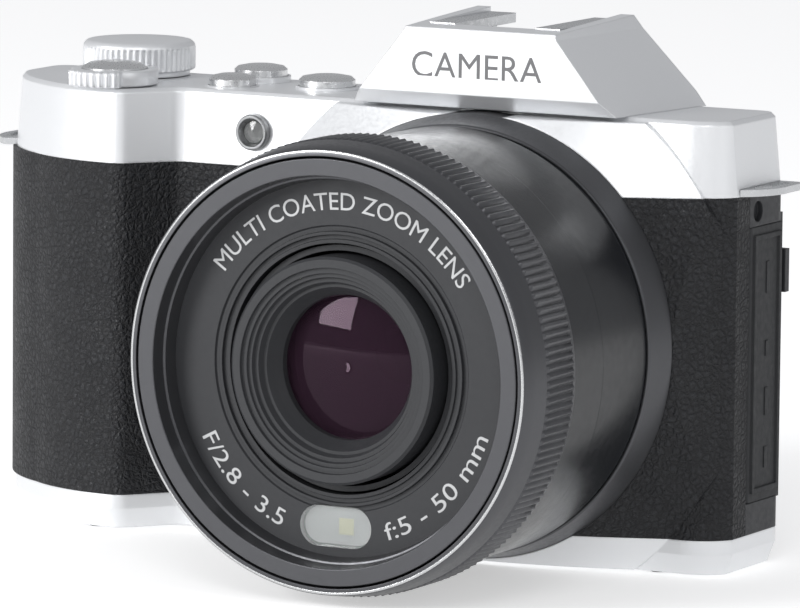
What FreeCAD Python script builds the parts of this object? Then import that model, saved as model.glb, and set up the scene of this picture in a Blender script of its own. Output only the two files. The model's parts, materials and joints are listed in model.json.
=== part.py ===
# Compact digital camera, millimetres.
# The origin is the mouth of the tripod socket in the middle of the base, on the lens's plane of
# symmetry. +Z is up, the lens looks along -Y and the hand grip is at -X.
import FreeCAD, Part
import math
import os

import Sketcher
from FreeCAD import Rotation, Vector

doc = FreeCAD.newDocument("compact_camera")

DIMENSIONS = {
    # Body plan
    "left": -83.3, "right": 37.3, "rear": 10.2, "front": -10.2, "side_front": -6.2,
    "front_turn": 31.0, "grip_front": -17.6, "grip_edge": -56.4, "flank_angle": 52.0,
    "valley_radius": 2.5, "edge_radius": 3.0, "grip_turn_x": -73.5, "grip_turn_y": -12.4, "grip_side_x": -82.2,
    "grip_swell": 0.75, "grip_side_y": -3.5, "grip_side_radius": 25.2, "grip_back_y": 0.8, "grip_back_radius": 9.1,
    "rear_radius": 3.0, "seam": -2.1,
    # Body heights
    "plate_top": 4.95, "plate_facet": 2.9, "facet_inset": 0.9, "belt": 53.5, "top_edge": 63.6,
    "top_face": 64.2, "top_draft": 0.8, "top_bevel": 1.3,
    # Walls
    "leather": 0.9, "wall": 1.4, "shell_wall": 2.6, "rear_wall": 1.8, "roof_under": 62.8,
    "floor_top": 1.4,
    # Lens surround
    "lens_axis": 32.16, "mount_radius": 31.7, "mount_face": -14.9, "flare_radius": 40.0,
    "flare_left": -44.0, "fit": 0.05,
    # Hump
    "hump_foot_front": -11.8, "hump_foot_half": 21.0, "hump_foot_rear_half": 24.3,
    "hump_brow": 66.3, "hump_brow_front": -13.7, "hump_brow_half": 19.1,
    "hump_brow_rear_half": 22.7, "hump_edge": 74.8, "hump_edge_half": 12.2,
    "hump_edge_rear_half": 14.1, "hump_top": 76.6, "hump_top_front": -12.7,
    "hump_top_half": 11.7, "hump_top_rear_half": 12.6, "hump_cavity_top": 70.6,
    "hump_cavity_half": 13.0, "hump_cavity_rear_half": 15.4, "hump_slope_front": 75.5,
    "hump_wall": 2.2,
    # Raised pad behind the grip, where the thumb rests
    "thumb_left": -77.3, "thumb_right": -67.8, "thumb_low": 38.0, "thumb_high": 50.0,
    # Accessory shoe
    "shoe_half": 10.4, "shoe_front": -8.8, "shoe_back": 9.9, "shoe_floor": 72.0,
    "shoe_base": 0.5, "shoe_slot_half": 9.4, "shoe_slot_height": 2.0, "shoe_lip_half": 6.35,
    "shoe_top": 75.9, "shoe_stop": 1.2, "insulator_thickness": 0.25, "contact_radius": 1.4,
    "contact_height": 0.15,
    # Lens: places along the axis, then radii
    "ring_front": -58.0, "ring_band": -52.6, "ring_knurl_end": -44.6, "ring_back": -43.5,
    "housing_seam": -34.0, "mount_front": -19.8, "housing_back": -6.0, "bezel_back": -56.8,
    "lens_plate_front": -53.4, "lens_plate_back": -52.0, "outer_barrel_front": -52.5,
    "outer_barrel_back": -24.0, "inner_barrel_front": -56.2, "inner_barrel_back": -26.0,
    "glass_apex": -51.7, "glass_rim": -50.3, "glass_back": -46.5, "cam_front": -50.0,
    "cam_back": -20.0, "gear_front": -23.0, "motor_back": -9.0, "shutter_front": -36.0,
    "shutter_back": -32.0, "focus_front": -20.0, "focus_back": -15.0, "rods_front": -25.0,
    "ring_lip_radius": 30.8, "ring_radius": 31.8, "ring_bore": 29.62, "sleeve_radius": 29.5,
    "housing_step_radius": 30.7, "housing_radius": 30.15, "housing_bore": 28.2,
    "bezel_bore": 27.1, "skirt_bore": 26.1, "plate_radius": 26.9, "plate_bore": 17.4,
    "plate_step_radius": 19.9, "outer_barrel_radius": 17.1, "outer_barrel_bore": 16.3,
    "inner_barrel_radius": 15.8, "inner_barrel_bore": 14.9, "funnel_bore": 10.1,
    "glass_radius": 11.5, "guide_radius": 18.6, "guide_bore": 17.6, "cam_radius": 20.3,
    "cam_bore": 18.8, "gear_module": 0.5, "cam_teeth": 84.0, "pinion_teeth": 10.0,
    "gear_play": 0.28, "motor_angle": 49.787, "motor_radius": 3.9, "focus_radius": 12.6,
    "focus_glass_radius": 8.5, "rod_circle": 11.0, "rod_radius": 0.75, "rear_plate_radius": 29.5,
    "rear_plate_bore": 7.0,
    # Light window in the lens plate
    "lamp_x": -0.55, "lamp_z": 10.2, "lamp_half_width": 5.6, "lamp_half_height": 2.85,
    "lamp_lid": 1.2,
    # Sensor and boards
    "sensor_half_x": 6.5, "sensor_half_z": 5.5, "sensor_back": -3.3, "rear_plate_back": -4.8,
    "board": 1.0, "chassis_front": -1.6, "chassis_left": -36.5, "chassis_right": 33.8,
    "chassis_low": 6.2, "chassis_high": 52.3, "main_board_front": 3.0,
    "main_board_right": 28.4, "bridge_front": -4.6, "bridge_back": -2.2, "bridge_left": -37.6,
    "bridge_leg": 2.4,
    # Battery, card and door
    "battery_left": -73.4, "battery_width": 34.5, "battery_front": -6.6, "battery_depth": 9.2,
    "battery_low": 6.3, "battery_height": 40.0, "card_left": -72.0, "card_width": 24.0,
    "card_front": 3.7, "card_depth": 2.1, "card_low": 6.5, "card_height": 32.0,
    "door_pivot_x": -74.8, "door_pivot_z": 1.0, "door_knuckle": 0.95, "door_right": -38.6,
    "door_front": -7.4, "door_back": 6.9, "door_thickness": 1.4, "door_gap": 0.15,
    "door_pin_radius": 0.45, "door_run": 1.4, "door_rail": 1.6, "latch_x": -44.0, "latch_length": 6.0,
    "latch_width": 4.0, "latch_travel": 2.0,
    # Tripod socket, screws and feet
    "socket_radius": 3.175, "socket_depth": 4.4, "bush_radius": 5.4, "bush_height": 4.9,
    "screw_head": 1.5, "screw_head_height": 0.7, "screw_shank": 0.8, "screw_length": 3.4,
    "foot_radius": 1.1, "foot_height": 0.4,
    # Top controls
    "shutter_x": -61.0, "shutter_y": -11.2, "button_rim": 4.75, "shutter_low": 65.4,
    "shutter_top": 67.7, "stem_radius": 1.2, "stem_low": 62.4, "lever_radius": 6.35,
    "lever_low": 64.35, "lever_top": 66.6, "lever_reach": 7.6, "ear_half_angle": 34.0,
    "dial_x": -65.2, "dial_y": 3.1, "dial_radius": 8.3, "dial_low": 65.1, "dial_top": 69.4,
    "dial_collar": 7.5, "shaft_radius": 1.9, "shaft_low": 61.4, "top_board_low": 59.6,
    "top_button_flange": 0.35, "top_button_low": 61.9, "key_gap": 0.15,
    "collar_wall": 0.5,
    # Focus lamp on the front
    "af_x": -38.4, "af_z": 58.46, "af_radius": 2.6, "af_front": -10.9, "af_back": -7.0,
    "af_lens_radius": 1.6,
    # Strap lugs
    "lug_low": 53.5, "lug_thickness": 1.0, "lug_reach": 3.6, "lug_front": -5.4,
    "lug_back": 8.2, "lug_strip": 1.3, "lug_root": 2.4,
    # Side door over the sockets
    "port_low": 9.5, "port_high": 48.7, "port_back": 8.6, "port_inner": 35.9,
    "port_pivot_x": 36.6, "port_pivot_y": -1.1, "port_knuckle": 0.7, "port_rib": 0.3,
    "side_eye_y": 0.5, "side_eye_z": 50.9, "side_eye_radius": 1.5,
    "trunnion_radius": 0.35, "trunnion": 0.8, "socket_y": 2.2,
    # Screen
    "screen_left": -42.0, "screen_right": 35.4, "screen_low": 8.6, "screen_high": 49.5,
    "screen_front": 10.35, "screen_back": 12.6, "screen_frame": 1.9, "screen_glass": 1.1,
    "screen_pivot_y": 11.6, "screen_pivot_z": 51.1, "hinge_radius": 1.1, "hinge_pin": 0.5,
    "knuckle_left": -30.0, "knuckle_right": 16.0, "knuckle_length": 8.0,
    "tab_low": 38.1, "tab_height": 6.2, "tab_back": 12.9,
    # Rear keys
    "key_back": 10.9, "key_flange_front": 7.9, "key_flange": 0.6, "pad_x": -61.5,
    "pad_z": 25.5, "pad_radius": 8.6, "pad_bore": 4.35, "ok_radius": 4.2, "rear_board_front": 6.1,
    "rear_board_back": 6.9,
}

sheet = doc.addObject("Spreadsheet::Sheet", "dim")
for row, (alias, number) in enumerate(DIMENSIONS.items(), start=1):
    sheet.set(f"A{row}", alias)
    sheet.set(f"B{row}", str(number))
    sheet.setAlias(f"B{row}", alias)
doc.recompute()


class Size:
    """A number kept together with the sheet formula that gives it."""

    def __init__(self, number, formula):
        self.number = number
        self.formula = formula

    def __add__(self, other):
        other = as_size(other)
        return Size(self.number + other.number, f"({self.formula} + {other.formula})")

    def __sub__(self, other):
        other = as_size(other)
        return Size(self.number - other.number, f"({self.formula} - {other.formula})")

    def __mul__(self, other):
        other = as_size(other)
        return Size(self.number * other.number, f"({self.formula} * {other.formula})")

    def __truediv__(self, other):
        other = as_size(other)
        return Size(self.number / other.number, f"({self.formula} / {other.formula})")

    def __radd__(self, other):
        return as_size(other) + self

    def __rsub__(self, other):
        return as_size(other) - self

    def __rmul__(self, other):
        return as_size(other) * self

    def __neg__(self):
        return as_size(0) - self


def as_size(value):
    if isinstance(value, Size):
        return value
    return Size(float(value), repr(float(value)))


def sine(angle):
    return Size(math.sin(math.radians(angle.number)), f"sin({angle.formula})")


def cosine(angle):
    return Size(math.cos(math.radians(angle.number)), f"cos({angle.formula})")


class Sheet:
    """Gives each alias of the sheet as a Size."""

    def __getattr__(self, alias):
        return Size(float(sheet.get(alias)), f"dim.{alias}")


d = Sheet()
nodes = []


# ---------------------------------------------------------------- building blocks

def bind(item, **sizes):
    for name, size in sizes.items():
        item.setExpression(name, as_size(size).formula)


def place(item, x=0, y=0, z=0, rotation=Rotation()):
    spot = [as_size(value) for value in (x, y, z)]
    item.Placement = FreeCAD.Placement(Vector(*[value.number for value in spot]), rotation)
    for letter, value in zip("xyz", spot):
        item.setExpression(f"Placement.Base.{letter}", value.formula)


def keep(item, name):
    """Make an object one of the camera's own pieces."""
    item.Label = name
    nodes.append(item)
    return item


def flat(points):
    """An outline of straight edges through (x, y) points."""
    return [("line", x, y) for x, y in points]


def draw_outline(sketch, outline):
    """Draw a closed outline of ("line", x, y) and ("arc", x, y, radius, side) steps.

    Every step ends at its point. The side of an arc is 1 where its centre is to the left of the
    way along the outline and -1 where it is to the right.
    """
    steps = [(step[0], as_size(step[1]), as_size(step[2]), *step[3:]) for step in outline]
    ends = []
    for index, step in enumerate(steps):
        start = Vector(steps[index - 1][1].number, steps[index - 1][2].number, 0)
        end = Vector(step[1].number, step[2].number, 0)
        if step[0] == "line":
            edge = sketch.addGeometry(Part.LineSegment(start, end), False)
            ends.append((edge, 1, 2))
        else:
            radius, side = as_size(step[3]), step[4]
            chord = end - start
            rise = math.sqrt(radius.number ** 2 - (chord.Length / 2) ** 2)
            across = Vector(-chord.y, chord.x, 0).normalize()
            centre = (start + end) / 2 + across * (side * rise)
            first, last = (start, end) if side > 0 else (end, start)
            angles = [math.atan2(p.y - centre.y, p.x - centre.x) for p in (first, last)]
            circle = Part.Circle(centre, Vector(0, 0, 1), radius.number)
            edge = sketch.addGeometry(Part.ArcOfCircle(circle, *angles), False)
            limit = sketch.addConstraint(Sketcher.Constraint("Radius", edge, radius.number))
            sketch.setExpression(f"Constraints[{limit}]", radius.formula)
            ends.append((edge, 1, 2) if side > 0 else (edge, 2, 1))
    for index, step in enumerate(steps):
        edge, _, tail = ends[index]
        follower, head, _ = ends[(index + 1) % len(ends)]
        sketch.addConstraint(Sketcher.Constraint("Coincident", edge, tail, follower, head))
        for kind, size in (("DistanceX", step[1]), ("DistanceY", step[2])):
            limit = sketch.addConstraint(Sketcher.Constraint(kind, -1, 1, edge, tail, size.number))
            sketch.setExpression(f"Constraints[{limit}]", size.formula)


def draw_circle(sketch, x, y, radius):
    x, y, radius = as_size(x), as_size(y), as_size(radius)
    centre = Vector(x.number, y.number, 0)
    edge = sketch.addGeometry(Part.Circle(centre, Vector(0, 0, 1), radius.number), False)
    limits = [
        (Sketcher.Constraint("Radius", edge, radius.number), radius),
        (Sketcher.Constraint("DistanceX", -1, 1, edge, 3, x.number), x),
        (Sketcher.Constraint("DistanceY", -1, 1, edge, 3, y.number), y),
    ]
    for constraint, size in limits:
        limit = sketch.addConstraint(constraint)
        sketch.setExpression(f"Constraints[{limit}]", size.formula)


def new_body(name):
    return doc.addObject("PartDesign::Body", name)


def new_sketch(body, name, plane, offset=0):
    """A sketch on one of the body's own origin planes, moved along its normal by offset."""
    sketch = body.newObject("Sketcher::SketchObject", name)
    origin = [item for item in body.Origin.OriginFeatures if item.Role == plane]
    sketch.AttachmentSupport = (origin[0], [""])
    sketch.MapMode = "FlatFace"
    offset = as_size(offset)
    sketch.AttachmentOffset = FreeCAD.Placement(Vector(0, 0, offset.number), Rotation())
    sketch.setExpression("AttachmentOffset.Base.z", offset.formula)
    return sketch


def pad(body, name, plane, outlines, length, circles=(), offset=0, reverse=False):
    sketch = new_sketch(body, name + "_sketch", plane, offset)
    for outline in outlines:
        draw_outline(sketch, outline)
    for circle in circles:
        draw_circle(sketch, *circle)
    feature = body.newObject("PartDesign::Pad", name)
    feature.Profile = sketch
    feature.Reversed = reverse
    bind(feature, Length=length)
    return feature


def loft(body, name, sections, cut=False):
    """A straight-sided loft through outlines that lie level at the given heights."""
    sketches = []
    for index, (height, outline) in enumerate(sections):
        sketch = new_sketch(body, f"{name}_sketch_{index}", "XY_Plane", height)
        draw_outline(sketch, outline)
        sketches.append(sketch)
    kind = "PartDesign::SubtractiveLoft" if cut else "PartDesign::AdditiveLoft"
    feature = body.newObject(kind, name)
    feature.Profile = sketches[0]
    feature.Sections = sketches[1:]
    feature.Ruled = True
    return feature


def turned(name, axis, profile, x=0, y=0, z=0):
    """A body turned about an axis along Y or Z from (place along the axis, radius) points."""
    body = new_body(name)
    plane, turning_axis = ("YZ_Plane", "H_Axis") if axis == "y" else ("XZ_Plane", "V_Axis")
    sketch = new_sketch(body, name + "_profile", plane)
    steps = []
    for step in profile:
        along, radius = step[:2]
        point = (along, radius) if axis == "y" else (radius, along)
        steps.append(("arc", *point, *step[2:]) if len(step) > 2 else ("line", *point))
    draw_outline(sketch, steps)
    feature = body.newObject("PartDesign::Revolution", name + "_turning")
    feature.Profile = sketch
    feature.ReferenceAxis = (sketch, [turning_axis])
    feature.Angle = 360
    place(body, x, y, z)
    return body


def lens_turned(name, profile):
    return turned(name, "y", profile, z=d.lens_axis)


def box(name, x, y, z):
    """A block between the given (low, high) pairs."""
    item = doc.addObject("Part::Box", name)
    bind(item, Length=x[1] - as_size(x[0]), Width=y[1] - as_size(y[0]), Height=z[1] - as_size(z[0]))
    place(item, x[0], y[0], z[0])
    return item


AXIS_TURNS = {
    "x": Rotation(Vector(0, 1, 0), 90),
    "y": Rotation(Vector(1, 0, 0), -90),
    "z": Rotation(),
}


def rod(name, axis, x, y, z, radius, length):
    """A cylinder that starts at (x, y, z) and runs the positive way along its axis."""
    item = doc.addObject("Part::Cylinder", name)
    bind(item, Radius=radius, Height=length)
    place(item, x, y, z, AXIS_TURNS[axis])
    return item


def fuse(name, items):
    item = doc.addObject("Part::MultiFuse", name)
    item.Shapes = items
    return item


def cut(name, base, tools):
    item = doc.addObject("Part::Cut", name)
    item.Base = base
    item.Tool = tools[0] if len(tools) == 1 else fuse(name + "_tools", tools)
    return item


def common(name, items):
    item = doc.addObject("Part::MultiCommon", name)
    item.Shapes = items
    return item


def group(name, items):
    item = doc.addObject("Part::Compound", name)
    item.Links = items
    return item


def plate_body(name, outlines, length, circles=(), x=0, y=0, z=0):
    body = new_body(name)
    pad(body, name + "_pad", "XY_Plane", outlines, length, circles)
    place(body, x, y, z)
    return body


# ---------------------------------------------------------------- the casing

def plan(inset, swell=0):
    """The camera's outline seen from above, clockwise from the rear right.

    It is moved in by inset, and out by swell at the grip's side.
    """
    inset, swell = as_size(inset), as_size(swell)
    left = d.left + inset - swell
    front = d.front + inset
    slope_x, slope_y = cosine(d.flank_angle), sine(d.flank_angle)
    grip_front = d.grip_front + inset
    edge_x = d.grip_edge - inset * (1 - slope_x) / slope_y
    edge_radius = d.edge_radius - inset * 0.5
    edge_run = edge_radius * (1 - slope_x) / slope_y
    valley_rise = d.valley_radius * (1 - slope_x)
    flank_end_y = d.front - valley_rise
    flank_end_x = d.grip_edge + (flank_end_y - d.grip_front) * slope_x / slope_y
    valley_x = flank_end_x + d.valley_radius * slope_y
    turn_x = d.right - inset - d.front_turn
    turn_y = d.side_front - front
    turn_radius = (turn_x * turn_x + turn_y * turn_y) / (2 * turn_y)
    grip_x = edge_x - edge_run - d.grip_turn_x - inset * 0.5
    grip_y = d.grip_turn_y + inset * 0.85 - grip_front
    grip_radius = (grip_x * grip_x + grip_y * grip_y) / (2 * grip_y)
    corner = d.rear_radius - inset * 0.5
    return [
        ("line", d.right - inset, d.side_front),
        ("arc", d.front_turn, front, turn_radius, -1),
        ("line", valley_x, front),
        ("arc", flank_end_x - inset * slope_y, flank_end_y + inset * slope_x,
         d.valley_radius + inset, 1),
        ("line", edge_x + slope_x * edge_run, grip_front + slope_y * edge_run),
        ("arc", edge_x - edge_run, grip_front, edge_radius, -1),
        ("arc", d.grip_turn_x + inset * 0.5, d.grip_turn_y + inset * 0.85, grip_radius, -1),
        ("arc", d.grip_side_x + (inset - swell) * 0.88, d.grip_side_y + inset * 0.47, d.grip_side_radius, -1),
        ("arc", left, d.grip_back_y, d.grip_back_radius, -1),
        ("line", left, d.rear - inset - corner),
        ("arc", left + corner, d.rear - inset, corner, -1),
        ("line", d.right - inset - corner, d.rear - inset),
        ("arc", d.right - inset, d.rear - inset - corner, corner, -1),
    ]


def cavity():
    """The hollow between the front and rear shells, seen from above."""
    side = d.right - d.shell_wall
    back = d.rear - d.rear_wall
    face = d.front + d.shell_wall
    return flat([
        (side, back), (side, d.side_front), (d.front_turn, face), (d.grip_edge + 5.1, face),
        (d.grip_edge, d.grip_front + 3.0), (d.grip_edge - 9.6, d.grip_front + 4.4),
        (d.grip_turn_x - 3.7, d.grip_turn_y + 7.2), (d.left + d.shell_wall, d.grip_back_y),
        (d.left + d.shell_wall, back),
    ])


def flare(name, low, high, inset):
    """The swelling of the front around the lens, between two heights."""
    inset = as_size(inset)
    depth = d.front - d.mount_face
    cone = doc.addObject("Part::Cone", name + "_cone")
    bind(cone, Radius1=d.mount_radius, Radius2=d.flare_radius, Height=depth)
    place(cone, 0, d.mount_face + inset, d.lens_axis, AXIS_TURNS["y"])
    drum = rod(name + "_drum", "y", 0, d.front + inset, d.lens_axis, d.flare_radius, 2.0)
    prism = plate_body(name + "_prism", [flat([
        (d.flare_left, d.front + 1.9), (d.flare_left, d.mount_face - 1), (d.mount_radius + 0.1,
        d.mount_face - 1), (d.mount_radius + 0.1 - inset, d.mount_face), (d.right - inset, d.side_front),
        (d.front_turn + 2, d.side_front), (d.front_turn - 2, d.front + 1.9),
    ])], high - as_size(low), z=low)
    return common(name, [fuse(name + "_whole", [cone, drum]), prism])


def lens_hole(name):
    return rod(name, "y", 0, d.mount_face - 5, d.lens_axis, d.mount_radius + d.fit, 15)


def upper_casing():
    shell = new_body("top_cover_shell")
    loft(shell, "top_cover_outside", [
        (d.belt, plan(0)), (d.top_edge, plan(d.top_draft)), (d.top_face, plan(d.top_bevel))])
    loft(shell, "top_cover_inside", [
        (d.belt, plan(d.wall)), (d.roof_under, plan(d.wall + d.top_draft))], cut=True)
    swell = flare("top_flare", d.belt, d.top_edge, 0)
    tools = [
        lens_hole("top_lens_hole"),
        rod("stem_hole", "z", d.shutter_x, d.shutter_y, d.roof_under - 1, d.stem_radius + 0.2, 4),
        rod("shaft_hole", "z", d.dial_x, d.dial_y, d.roof_under - 1, d.shaft_radius + 0.1, 4),
        rod("af_hole", "y", d.af_x, d.front - 3, d.af_z, d.af_radius + 0.02, 8),
    ]
    collars = []
    for name, (x, y, radius, rise) in TOP_BUTTONS.items():
        collars.append(rod(name + "_collar", "z", x, y, d.roof_under + 0.5, radius + d.collar_wall,
                           d.top_face + rise - d.roof_under - 0.5))
        tools.append(rod(name + "_hole", "z", x, y, d.roof_under - 1, radius + d.key_gap, 5))
        tools.append(rod(name + "_pocket", "z", x, y, d.top_button_low - 0.6,
                         radius + d.top_button_flange + d.key_gap, d.roof_under - d.top_button_low + 0.6))
    for name, wall, root in (("right", d.right, -d.lug_root), ("left", d.left, d.lug_root)):
        inner, outer = sorted((wall + root, wall - root), key=lambda size: size.number)
        tools.append(box(f"lug_slot_{name}", (inner, outer), (d.lug_front - d.fit, d.lug_back + d.fit),
                         (d.belt - 1, d.lug_low + d.lug_thickness + 0.02)))
    keep(cut("top_cover", fuse("top_cover_blank", [shell, swell, *collars]), tools), "top_cover")


def lower_casing():
    tray = new_body("bottom_cover_tray")
    loft(tray, "bottom_cover_outside", [
        (0, plan(d.facet_inset)), (d.plate_facet, plan(0)), (d.plate_top, plan(0))])
    loft(tray, "bottom_cover_inside", [
        (d.floor_top, plan(d.wall + d.facet_inset)), (d.plate_top, plan(d.wall))], cut=True)
    swell = flare("bottom_flare", 0.1, d.plate_top, 0)
    bosses = [
        rod(f"screw_boss_{index}", "z", x, y, 0.9, d.screw_head + 0.8, 2.4)
        for index, (x, y) in enumerate(SCREWS)
    ]
    door_room = box(
        "door_room", (d.door_pivot_x - d.door_run, d.door_right + d.door_gap),
        (d.door_front - d.door_gap, d.door_back + d.door_gap), (-1, 3))
    tools = [
        lens_hole("bottom_lens_hole"),
        door_room,
        rod("door_pin_hole", "y", d.door_pivot_x, d.door_front - 1.6, d.door_pivot_z,
            d.door_pin_radius, d.door_back - d.door_front + 3.2),
        rod("bush_hole", "z", 0, 0, -1, d.bush_radius, 4),
    ]
    for index, (x, y) in enumerate(SCREWS):
        tools.append(rod(f"screw_seat_{index}", "z", x, y, -1, d.screw_head, 1 + d.screw_head_height))
        tools.append(rod(f"screw_way_{index}", "z", x, y, -1, d.screw_shank, 6))
    rails = [
        box(f"door_rail_{side}", (d.door_pivot_x - d.door_run, d.door_pivot_x + d.door_run),
            (y - d.door_rail / 2, y + d.door_rail / 2), (0.3, 2.4))
        for side, y in (("front", d.door_front - d.door_gap - d.door_rail / 2),
                        ("back", d.door_back + d.door_gap + d.door_rail / 2))
    ]
    blank = fuse("bottom_cover_blank", [tray, swell, *bosses, *rails])
    keep(cut("bottom_cover", blank, tools), "bottom_cover")


def front_casing():
    front_room = box("front_room", (d.left - 2, d.right + 2), (-30, d.seam), (0, 60))
    skin = plate_body("skin_outside", [plan(0, d.grip_swell)], d.belt - d.plate_top, z=d.plate_top)
    core = plate_body("core_outside", [plan(d.leather, d.grip_swell)], d.belt - d.plate_top, z=d.plate_top)
    skin_flare = flare("skin_flare", d.plate_top, d.belt, 0)
    core_flare = flare("core_flare", d.plate_top, d.belt, d.leather)
    skin_whole = fuse("skin_whole", [skin, skin_flare])
    core_whole = fuse("core_whole", [core, core_flare])
    leather = cut("leather_blank", common("leather_front", [skin_whole, front_room]),
                  [core_whole, lens_hole("leather_lens_hole")])
    keep(leather, "front_leather")
    hollow = plate_body("front_hollow", [cavity()], d.belt - d.plate_top, z=d.plate_top)
    core_front = common("core_front", [core_whole, front_room])
    walls = cut("front_walls", core_front, [hollow, lens_hole("shell_lens_hole")])
    bridges = []
    for side, low, high in (("lower", d.plate_top, d.chassis_low), ("upper", d.chassis_high, d.belt)):
        bridges.append(box(f"{side}_bridge", (d.bridge_left, d.right - d.shell_wall + 0.3),
                           (d.bridge_front, d.bridge_back), (low, high)))
        bridges.append(box(f"{side}_bridge_leg", (d.bridge_left, d.bridge_left + d.bridge_leg),
                           (d.front + d.shell_wall - 0.3, d.bridge_back), (low, high)))
    keep(fuse("front_shell", [walls, *bridges]), "front_shell")


def rear_casing():
    outside = plate_body("rear_outside", [plan(0, d.grip_swell)], d.belt - d.plate_top, z=d.plate_top)
    rear_room = box("rear_room", (d.left - 2, d.right + 2), (d.seam, 30), (0, 60))
    inside = plate_body("rear_inside", [cavity()], d.belt - d.plate_top, z=d.plate_top)
    port_room = box("port_room", (d.port_inner - 2, d.right + 2), (d.seam, d.port_back + 0.1),
                    (d.port_low - 0.1, d.port_high + 0.1))
    tools = [
        inside,
        port_room,
        rod("trunnion_hole", "z", d.port_pivot_x, d.port_pivot_y, d.port_low - d.trunnion - 0.2,
            d.trunnion_radius + d.fit, d.port_high - d.port_low + 2 * d.trunnion + 0.4),
        rod("side_eye_hole", "x", d.right - 0.8, d.side_eye_y, d.side_eye_z, d.side_eye_radius, 3),
        rod("pad_hole", "y", d.pad_x, 5, d.pad_z, d.pad_radius + d.key_gap, 8),
    ]
    for name, (x, z, radius) in REAR_KEYS.items():
        tools.append(rod(name + "_hole", "y", x, 5, z, radius + d.key_gap, 8))
    thumb = box("thumb_pad", (d.thumb_left, d.thumb_right), (d.rear - 0.3, d.rear + 1.1),
                (d.thumb_low, d.thumb_high))
    rear_blank = fuse("rear_blank", [common("rear_outer", [outside, rear_room]), thumb])
    keep(cut("rear_shell", rear_blank, tools), "rear_shell")


def hump():
    def level(front, front_half, rear_half):
        back = d.rear - 0.2
        return flat([(-front_half, front), (front_half, front), (rear_half, back), (-rear_half, back)])

    cover = new_body("hump_body")
    loft(cover, "hump_outside", [
        (d.top_face, level(d.hump_foot_front, d.hump_foot_half, d.hump_foot_rear_half)),
        (d.hump_brow, level(d.hump_brow_front, d.hump_brow_half, d.hump_brow_rear_half)),
        (d.hump_edge, level(d.hump_brow_front + 0.1, d.hump_edge_half, d.hump_edge_rear_half)),
        (d.hump_top, level(d.hump_top_front, d.hump_top_half, d.hump_top_rear_half)),
    ])

    def hollow(half, rear_half):
        back = d.rear - d.hump_wall
        front = d.hump_foot_front + d.hump_wall
        return flat([(-half, front), (half, front), (rear_half, back), (-rear_half, back)])

    loft(cover, "hump_inside", [
        (d.top_face, hollow(d.hump_foot_half - d.hump_wall, d.hump_foot_rear_half - d.hump_wall)),
        (d.hump_cavity_top, hollow(d.hump_cavity_half, d.hump_cavity_rear_half)),
    ], cut=True)
    recess = box("shoe_recess", (-(d.shoe_half + 0.1), d.shoe_half + 0.1),
                 (d.shoe_front - 0.1, d.rear + 2), (d.shoe_floor, d.hump_top + 3))
    slope = new_body("hump_slope")
    front, back = d.hump_brow_front - 1, d.rear
    pad(slope, "hump_slope_pad", "YZ_Plane", [flat([
        (front, d.hump_slope_front), (back, d.hump_top), (back, d.hump_top + 2),
        (front, d.hump_top + 2)])], 50, offset=-25)
    keep(cut("hump_cover", cover, [recess, slope]), "hump_cover")


def accessory_shoe():
    slot_floor = d.shoe_floor + d.shoe_base
    slot_roof = slot_floor + d.shoe_slot_height
    shoe = new_body("accessory_shoe")
    side = -d.shoe_half
    outline = flat([
        (side, d.shoe_floor), (d.shoe_half, d.shoe_floor), (d.shoe_half, d.shoe_top),
        (d.shoe_lip_half, d.shoe_top), (d.shoe_lip_half, slot_roof),
        (d.shoe_slot_half, slot_roof), (d.shoe_slot_half, slot_floor),
        (-d.shoe_slot_half, slot_floor), (-d.shoe_slot_half, slot_roof),
        (-d.shoe_lip_half, slot_roof), (-d.shoe_lip_half, d.shoe_top), (side, d.shoe_top),
    ])
    pad(shoe, "shoe_rails", "XZ_Plane", [outline], d.shoe_back - d.shoe_front)
    pad(shoe, "shoe_end", "XZ_Plane", [flat([
        (side, slot_floor - 0.2), (d.shoe_half, slot_floor - 0.2), (d.shoe_half, slot_roof + 0.2),
        (side, slot_roof + 0.2)])], d.shoe_stop, offset=d.shoe_back - d.shoe_front - d.shoe_stop)
    place(shoe, 0, d.shoe_back, 0)
    keep(shoe, "accessory_shoe")
    tongue = box("insulator_plate", (-(d.shoe_lip_half - 0.2), d.shoe_lip_half - 0.2),
                 (d.shoe_front + d.shoe_stop, d.shoe_back - 1.5),
                 (slot_floor, slot_floor + d.insulator_thickness))
    contact = rod("shoe_contact", "z", 0, 0.5, slot_floor, d.contact_radius,
                  d.insulator_thickness + d.contact_height)
    keep(fuse("shoe_insulator", [tongue, contact]), "shoe_insulator")


# ---------------------------------------------------------------- the lens

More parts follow.
